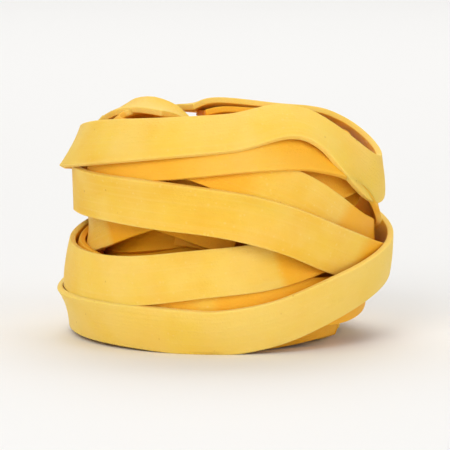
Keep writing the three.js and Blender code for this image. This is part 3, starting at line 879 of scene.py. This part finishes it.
# %% The heart
HEART_DEPTH = -3.3
HEART_TURNS = 96
HEART_LEVELS = 64
OFF_POLE = 1e-6


def heart_surface(turns=HEART_TURNS, levels=HEART_LEVELS):
    """The drum sunk by the heart's depth: a globe of directions, each point moved along the
    normal. The two poles are single points a hair off the axis, where a bearing can still be
    told, so the surface is closed."""
    level = np.linspace(-np.pi / 2, np.pi / 2, levels + 1)[1:-1, None]
    turn = np.linspace(0, 2 * np.pi, turns, endpoint=False)[None]
    globe = [np.cos(level) * np.cos(turn), np.cos(level) * np.sin(turn), np.sin(level) + 0 * turn]
    poles = np.array([[OFF_POLE, 0, -1.0], [OFF_POLE, 0, 1.0]])
    directions = unit(np.concatenate([np.stack(globe, -1).reshape(-1, 3), poles]))
    return drum_point(directions) + HEART_DEPTH * drum_normal(directions)


def heart_faces(turns=HEART_TURNS, levels=HEART_LEVELS):
    """Quads between the rings and a fan of triangles round each pole."""
    row, column = np.mgrid[0 : levels - 2, 0:turns]
    following = (column + 1) % turns
    corners = [row * turns + column, row * turns + following]
    corners += [(row + 1) * turns + following, (row + 1) * turns + column]
    quads = np.stack(corners, -1).reshape(-1, 4)
    ring = np.arange(turns)
    turned = (ring + 1) % turns
    south = np.full(turns, (levels - 1) * turns)
    last = (levels - 2) * turns
    foot = np.stack([south, turned, ring], -1)
    crown = np.stack([south + 1, last + ring, last + turned], -1)
    return quads.tolist() + foot.tolist() + crown.tolist()


heart = make_piece("heart", heart_surface(), heart_faces())

# %% [markdown]
# ## Into the frame
#
# The winding has its own origin. The nest is moved so that its middle and its foot are those of
# the CAD model, and millimetres become metres. The move goes into the meshes, so each object stays
# at the origin.

# %% Into the frame
all_points = np.concatenate([outer_points, inner_points])
low, high = all_points.min(0), all_points.max(0)
shift = np.array([*((nest_low + nest_high) / 2 - (low + high) / 2)[:2], nest_low[2] - TRAY_PRESS])
for piece in (outer_ribbons, inner_ribbons, deep_ribbons, heart):
    flat = np.empty(3 * len(piece.data.vertices), np.float32)
    piece.data.vertices.foreach_get("co", flat)
    moved = (flat.reshape(-1, 3) + shift) * MM
    piece.data.vertices.foreach_set("co", moved.astype(np.float32).ravel())
    piece.data.update()
    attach(piece, "root")
    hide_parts(NEST)
print("ribbons' box, millimetres:", (high - low).round(1), "moved by", shift.round(2))

# %% [markdown]
# ## Nodes in few words
#
# Materials are networks of nodes. A few helpers add a node and set or link each of its sockets, so
# that a network reads like a list.

# %% Nodes and sockets
def fill_sockets(tree, node, sockets):
    """Each socket in the dictionary is linked if it is given a socket, and set if not."""
    for name, value in sockets.items():
        if isinstance(value, bpy.types.NodeSocket):
            tree.links.new(value, node.inputs[name])
        else:
            node.inputs[name].default_value = value


def add_node(tree, kind, sockets=(), **settings):
    """Adds a node with its settings and sockets."""
    node = tree.nodes.new(kind)
    for name, value in settings.items():
        setattr(node, name, value)
    fill_sockets(tree, node, dict(sockets))
    return node


def new_material(name):
    """An empty material; returns it with its node tree and its shader."""
    material = bpy.data.materials.new(name)
    material.use_nodes = True
    return material, material.node_tree, material.node_tree.nodes["Principled BSDF"]


def new_group(name, inputs, outputs):
    """An empty node group with named sockets; returns it with its two ends. An input takes a
    number, whose usual value is given, or a vector, where None is. An output gives a number."""
    group = bpy.data.node_groups.new(name, "ShaderNodeTree")
    for label, value in inputs.items():
        kind = "NodeSocketVector" if value is None else "NodeSocketFloat"
        socket = group.interface.new_socket(label, in_out="INPUT", socket_type=kind)
        if value is not None:
            socket.default_value = value
    for label in outputs:
        group.interface.new_socket(label, in_out="OUTPUT", socket_type="NodeSocketFloat")
    start = group.nodes.new("NodeGroupInput")
    end = group.nodes.new("NodeGroupOutput")
    return group, start.outputs, end.inputs


def group_node(tree, group, sockets):
    """A node group placed in a material; returns its outputs."""
    return add_node(tree, "ShaderNodeGroup", sockets, node_tree=group).outputs


# %% Steps of a network
def math_node(tree, operation, first, second=0.0, third=0.0, clamped=False):
    """One step of arithmetic, as a socket."""
    sockets = {0: first, 1: second, 2: third}
    node = add_node(tree, "ShaderNodeMath", sockets, operation=operation, use_clamp=clamped)
    return node.outputs[0]


def ease(tree, value, low, high):
    """A value eased from a range to between 0 and 1, level outside it."""
    sockets = {"Value": value, "From Min": low, "From Max": high}
    return add_node(tree, "ShaderNodeMapRange", sockets, interpolation_type="SMOOTHSTEP").outputs[0]


def blend_colours(tree, factor, first, second):
    """Two colours mixed by a factor, as a socket. A Mix node keeps its colours at 6 and 7."""
    sockets = {0: factor, 6: first, 7: second}
    return add_node(tree, "ShaderNodeMix", sockets, data_type="RGBA").outputs[2]


def noise(tree, vector, scale, detail=2.0, roughness=0.5):
    """Soft noise between 0 and 1, as a socket."""
    sockets = {"Vector": vector, "Scale": scale, "Detail": detail, "Roughness": roughness}
    return add_node(tree, "ShaderNodeTexNoise", sockets).outputs[0]


print("materials in the frame:", sorted(item.name for item in bpy.data.materials))

# %% [markdown]
# ## Shared effects
#
# Three things are seen on dry pasta from close by, and each becomes a group that any material can
# use. The drawn grain is the fine lines that rollers and cutters leave along the ribbon. The
# semolina specks are pale starchy grains and a few darker bits of bran. The dry bloom is the pale
# dustiness on cut edges and in patches where the ribbon dried first.

# %% Drawn grain
LINE_NOISE = {"Along": 0.05, "Across": 2.4}  # cells of the noise for each millimetre
STRANDS_APART = 60  # how far apart in the noise two ribbons' slices may lie
CRUMB_SCALE = 2600.0
LINES_HEIGHT = 0.75  # height of the lines, where the crumb's is one


def make_drawn_grain():
    """Noise that is stretched along the ribbon: long lines, with a finer crumb between them. Each
    ribbon takes its own slice of the noise."""
    inputs = {"Along": 0.0, "Across": 0.0, "Strand": 0.0, "Vector": None}
    group, given, result = new_group("drawn_grain", inputs, ["Height", "Lines"])
    sockets = {
        "X": math_node(group, "MULTIPLY", given["Along"], LINE_NOISE["Along"]),
        "Y": math_node(group, "MULTIPLY", given["Across"], LINE_NOISE["Across"]),
        "Z": math_node(group, "MULTIPLY", given["Strand"], STRANDS_APART),
    }
    stretched = add_node(group, "ShaderNodeCombineXYZ", sockets).outputs[0]
    lines = noise(group, stretched, 1.0, detail=3.0, roughness=0.6)
    crumb = noise(group, given["Vector"], CRUMB_SCALE, detail=3.0, roughness=0.6)
    height = math_node(group, "ADD", math_node(group, "MULTIPLY", lines, LINES_HEIGHT), crumb)
    group.links.new(height, result["Height"])
    group.links.new(lines, result["Lines"])
    return group


drawn_grain = make_drawn_grain()
print("drawn grain:", len(drawn_grain.nodes), "nodes")

# %% Semolina specks
FULL_WITHIN = 0.5  # share of a spot's size within which it is full


def make_semolina_specks():
    """Spots round drawn points. A spot is as large as its point's own random share of the size,
    fades towards its rim, and shows only for the share of points whose other random value is low
    enough."""
    inputs = {"Vector": None, "Scale": 900.0, "Size": 0.3, "Share": 0.3}
    group, given, result = new_group("semolina_specks", inputs, ["Mask"])
    sockets = {"Vector": given["Vector"], "Scale": given["Scale"]}
    cells = add_node(group, "ShaderNodeTexVoronoi", sockets)
    drawn = add_node(group, "ShaderNodeSeparateColor", {"Color": cells.outputs["Color"]})
    chosen = math_node(group, "LESS_THAN", drawn.outputs[0], given["Share"])
    size = math_node(group, "MULTIPLY", given["Size"], drawn.outputs[1])
    inner = math_node(group, "MULTIPLY", size, FULL_WITHIN)
    sockets = {"Value": cells.outputs["Distance"], "From Min": size, "From Max": inner}
    spot = add_node(group, "ShaderNodeMapRange", sockets).outputs[0]
    group.links.new(math_node(group, "MULTIPLY", spot, chosen, clamped=True), result["Mask"])
    return group


semolina_specks = make_semolina_specks()
print("semolina specks:", len(semolina_specks.nodes), "nodes")

# %% Dry bloom
RAGGED_SCALE, RAGGED_SIZE = 700.0, 0.7
EDGE_RANGE = (RIBBON_WIDTH / 2 - 0.25, RIBBON_WIDTH / 2 + 0.45)
PATCH_SCALE = 85.0
PATCH_RANGE = (0.42, 0.9)
PATCH_BY_STRAND = 0.25


def make_dry_bloom():
    """Pale where the distance off the ribbon's middle, made ragged by noise, nears the cut edge,
    and in patches of slow noise."""
    inputs = {"Across": 0.0, "Vector": None, "Strand": 0.0}
    group, given, result = new_group("dry_bloom", inputs, ["Edge", "Patch"])
    off_middle = math_node(group, "ABSOLUTE", given["Across"])
    ragged = noise(group, given["Vector"], RAGGED_SCALE, detail=3.0)
    off_middle = math_node(group, "MULTIPLY_ADD", ragged, RAGGED_SIZE, off_middle)
    group.links.new(ease(group, off_middle, *EDGE_RANGE), result["Edge"])
    patch = noise(group, given["Vector"], PATCH_SCALE, detail=3.0, roughness=0.55)
    patch = math_node(group, "MULTIPLY_ADD", given["Strand"], PATCH_BY_STRAND, patch)
    group.links.new(ease(group, patch, *PATCH_RANGE), result["Patch"])
    return group


dry_bloom = make_dry_bloom()
print("dry bloom:", len(dry_bloom.nodes), "nodes")

# %% [markdown]
# ## Dry durum pasta
#
# Dry pasta is hard and a little see-through, like horn. Light goes in, wanders a short way and
# comes out yellower, so the gaps between ribbons glow orange. A subsurface share on the shader
# does this. Its surface is satin, not shiny. The colour runs from a warm amber to a paler yellow,
# by bloom and by ribbon. Where a ribbon lies deep under others, a painted orange shade is laid
# over it, for the light that has bounced from pasta to pasta.

# %% Pasta colours
AMBER = (0.88, 0.53, 0.045, 1)
GOLD = (0.92, 0.64, 0.085, 1)
PALE = (0.96, 0.71, 0.22, 1)
# a painted shade: the orange of pasta lit by light bounced from other pasta
PAINTED_DEEP_SHADE = (0.95, 0.42, 0.003, 1)
BRAN = (0.42, 0.15, 0.015, 1)
print("from amber", AMBER[:3], "by gold", GOLD[:3], "to pale", PALE[:3])

# %% Pasta material
PALE_SPECKS = {"Scale": 1300.0, "Size": 0.42, "Share": 0.45}
BRAN_SPECKS = {"Scale": 520.0, "Size": 0.16, "Share": 0.16}
TONE_SCALE, TONE_BY_STRAND = 130.0, 0.5
# the last range: burial depths over which the painted orange shade comes in
TONE_RANGE, LINES_RANGE, PAINTED_SHADE_DEPTHS = (0.35, 1.0), (0.45, 0.75), (0.0, 0.42)
SATIN, ROUGHER_LINES, ROUGHER_EDGE = 0.45, 0.22, 0.18
GRAIN_BUMP = {"Strength": 0.6, "Distance": 0.0002}
PASTA_SOCKETS = {
    "IOR": 1.5,
    "Specular IOR Level": 0.25,
    "Subsurface Weight": 0.3,
    "Subsurface Scale": 0.001,
    "Subsurface Radius": (1.0, 0.75, 0.3),
}


def make_pasta(name, painted_shade_share):
    """Golden satin pasta; the second argument is how strongly deep places get a painted orange
    shade.
    Layers of colour lie over one another, each with a mask, a share and a colour."""
    material, tree, shader = new_material(name)
    place = add_node(tree, "ShaderNodeTexCoord").outputs["Object"]
    along, across, strand, buried = (
        add_node(tree, "ShaderNodeAttribute", attribute_name=label).outputs["Fac"]
        for label in VERTEX_NUMBERS
    )
    own = {"Across": across, "Strand": strand, "Vector": place}
    grain = group_node(tree, drawn_grain, {"Along": along, **own})
    bloom = group_node(tree, dry_bloom, own)
    pale_specks = group_node(tree, semolina_specks, {"Vector": place, **PALE_SPECKS})["Mask"]
    bran_specks = group_node(tree, semolina_specks, {"Vector": place, **BRAN_SPECKS})["Mask"]

    tone = noise(tree, place, TONE_SCALE)
    tone = math_node(tree, "MULTIPLY_ADD", strand, TONE_BY_STRAND, tone)
    colour = blend_colours(tree, ease(tree, tone, *TONE_RANGE), AMBER, GOLD)
    layers = [
        (bloom["Patch"], 0.55, PALE),
        (ease(tree, grain["Lines"], *LINES_RANGE), 0.22, PALE),
        (bloom["Edge"], 0.45, PALE),
        (pale_specks, 0.35, PALE),
        (bran_specks, 0.45, BRAN),
        # painted shade: deep places turn orange, for light bounced from pasta to pasta
        (ease(tree, buried, *PAINTED_SHADE_DEPTHS), painted_shade_share, PAINTED_DEEP_SHADE),
    ]
    for mask, share, tint in layers:
        colour = blend_colours(tree, math_node(tree, "MULTIPLY", mask, share), colour, tint)
    rough = math_node(tree, "MULTIPLY_ADD", grain["Lines"], ROUGHER_LINES, SATIN)
    rough = math_node(tree, "MULTIPLY_ADD", bloom["Edge"], ROUGHER_EDGE, rough)
    bump = add_node(tree, "ShaderNodeBump", {"Height": grain["Height"], **GRAIN_BUMP})

    seen = {"Base Color": colour, "Roughness": rough, "Normal": bump.outputs[0]}
    fill_sockets(tree, shader, {**seen, **PASTA_SOCKETS})
    return material


outer_ribbons.data.materials.append(make_pasta("outer_pasta", painted_shade_share=0.8))
inner_ribbons.data.materials.append(make_pasta("inner_pasta", painted_shade_share=0.95))
deep_ribbons.data.materials.append(make_pasta("deep_pasta", painted_shade_share=1.0))
print("pasta materials:", sorted(item.name for item in bpy.data.materials if "_pasta" in item.name))

# %% [markdown]
# ## The heart's painted shade
#
# The heart is hardly seen, at the bottom of the deepest gaps. Its colour is a painted shade: the
# deep tone of pasta that is lit only by pasta, a little mottled.

# %% Heart material
HEART_SHADE = (0.55, 0.2, 0.012, 1)
HEART_ROUGHNESS = 0.6
HEART_MOTTLE_SCALE = 300.0
HEART_BUMP = {"Strength": 0.3, "Distance": 0.0002}


def make_heart_pasta():
    """Deep orange painted shade; one soft noise mottles its colour and makes its bumps."""
    material, tree, shader = new_material("heart_pasta")
    place = add_node(tree, "ShaderNodeTexCoord").outputs["Object"]
    mottle = noise(tree, place, HEART_MOTTLE_SCALE, detail=4.0)
    colour = blend_colours(tree, mottle, HEART_SHADE, PAINTED_DEEP_SHADE)
    bump = add_node(tree, "ShaderNodeBump", {"Height": mottle, **HEART_BUMP})
    seen = {"Base Color": colour, "Roughness": HEART_ROUGHNESS, "Normal": bump.outputs[0]}
    fill_sockets(tree, shader, seen)
    return material


heart.data.materials.append(make_heart_pasta())
print("heart material:", heart.data.materials[0].name)

# %% [markdown]
# ## The studio
#
# The nest stands on a plain pale floor. The light is soft and comes mostly from the front, above
# and to the left. A faint low light reaches into the gaps between the ribbons, a wide fill comes
# from the right and a weak one from above. One more light whitens the floor behind the nest, and
# the room around is nearly white, so that no side falls into darkness.

# %% Floor
FLOOR_SIZE = 6.0
FLOOR_SOCKETS = {
    "Base Color": (0.87, 0.865, 0.855, 1),
    "Roughness": 0.7,
    "Specular IOR Level": 0.2,
}


def make_floor():
    """A square floor at height zero, far wider than the view."""
    half = FLOOR_SIZE / 2
    mesh = bpy.data.meshes.new("floor")
    corners = [(-half, -half, 0), (half, -half, 0), (half, half, 0), (-half, half, 0)]
    mesh.from_pydata(corners, [], [(0, 1, 2, 3)])
    material, tree, shader = new_material("floor_paint")
    fill_sockets(tree, shader, FLOOR_SOCKETS)
    mesh.materials.append(material)
    return add_object("floor", mesh)


make_floor()
print("floor, metres:", FLOOR_SIZE)

# %% Lights
NEST_MIDDLE = (0, 0, 0.02)
FLOOR_BEHIND = (0, 1.1, 0)
ROOM_COLOUR = (1.0, 0.99, 0.975, 1)
ROOM_STRENGTH = 0.5


def soft_light(name, place, size, watts, target=NEST_MIDDLE):
    """A square area light that faces the target."""
    data = bpy.data.lights.new(name, "AREA")
    data.size, data.energy = size, watts
    light = add_object(name, data)
    light.location = place
    aim = np.array(target) - np.array(place)
    light.rotation_euler = Vector(aim).to_track_quat("-Z", "Y").to_euler()


soft_light("key", place=(-0.35, -0.75, 0.6), size=0.5, watts=3.6)
soft_light("low", place=(-0.25, -0.9, 0.12), size=0.4, watts=0.9)
soft_light("fill", place=(0.75, -0.45, 0.35), size=0.6, watts=1.5)
soft_light("top", place=(0.1, 0.3, 0.9), size=0.6, watts=1.0)
soft_light("backdrop", place=(0, 1.1, 1.2), size=1.4, watts=11.0, target=FLOOR_BEHIND)

world = bpy.data.worlds.new("studio")
bpy.context.scene.world = world
world.use_nodes = True
room = world.node_tree.nodes["Background"].inputs
room["Color"].default_value = ROOM_COLOUR
room["Strength"].default_value = ROOM_STRENGTH
print("lights:", len(bpy.data.lights))

# %% [markdown]
# ## The camera
#
# The nest is seen from the front and almost level, as on a shelf, through a long lens that keeps
# its sides upright.

# %% Camera
CAMERA_ELEVATION = math.radians(7)
CAMERA_DISTANCE = 0.55
SENSOR = 36.0  # millimetres
VIEW_WIDTH = 0.082  # what the view takes in at the middle of the nest, in metres
VIEW_MIDDLE = np.array([0.0, 0.0, 0.0195])

camera_data = bpy.data.cameras.new("camera")
camera_data.sensor_width = SENSOR
camera_data.lens = SENSOR * CAMERA_DISTANCE / VIEW_WIDTH
camera = add_object("camera", camera_data)
backward = np.array([0, -math.cos(CAMERA_ELEVATION), math.sin(CAMERA_ELEVATION)])
camera.location = VIEW_MIDDLE + CAMERA_DISTANCE * backward
camera.rotation_euler = (math.pi / 2 - CAMERA_ELEVATION, 0, 0)
bpy.context.scene.camera = camera
bpy.context.scene.view_settings.view_transform = "Standard"
print("lens, millimetres:", round(camera_data.lens, 1))
